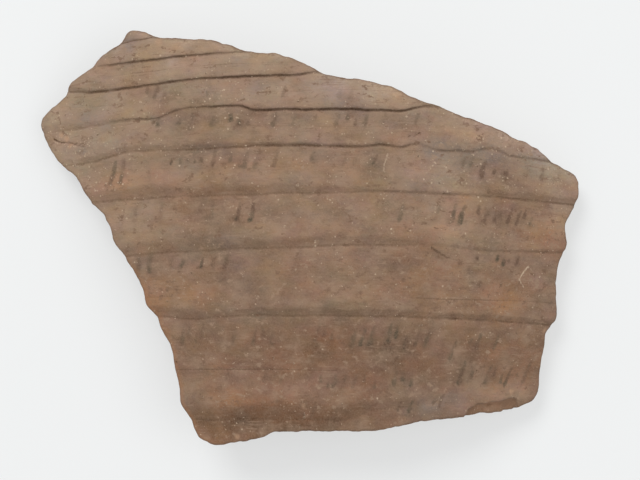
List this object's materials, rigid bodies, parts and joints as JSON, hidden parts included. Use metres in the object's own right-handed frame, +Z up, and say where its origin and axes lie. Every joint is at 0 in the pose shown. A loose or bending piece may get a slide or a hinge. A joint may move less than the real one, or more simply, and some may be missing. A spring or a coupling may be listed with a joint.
{
  "type": "ostracon",
  "caption": "Broken sherd of a ribbed pottery jar wall with faint rows of ink strokes on its outer side, lying on its hollow side.",
  "frame": {"origin": "middle of the bounding box, at the surface that the sherd lies on", "axes": "+X round the jar, along the sherd's longest side; +Y up the jar's axis, towards the close ribs; +Z up, out of the jar's outer side"},
  "size_m": [0.1622, 0.1214, 0.0325],
  "materials": {
    "fired_clay": "matt unglazed earthenware, pinkish brown with orange and grey patches, worn, with faint grey ink strokes"
  },
  "bodies": {
    "root": {"sherd": "fired_clay"}
  },
  "joints": []
}
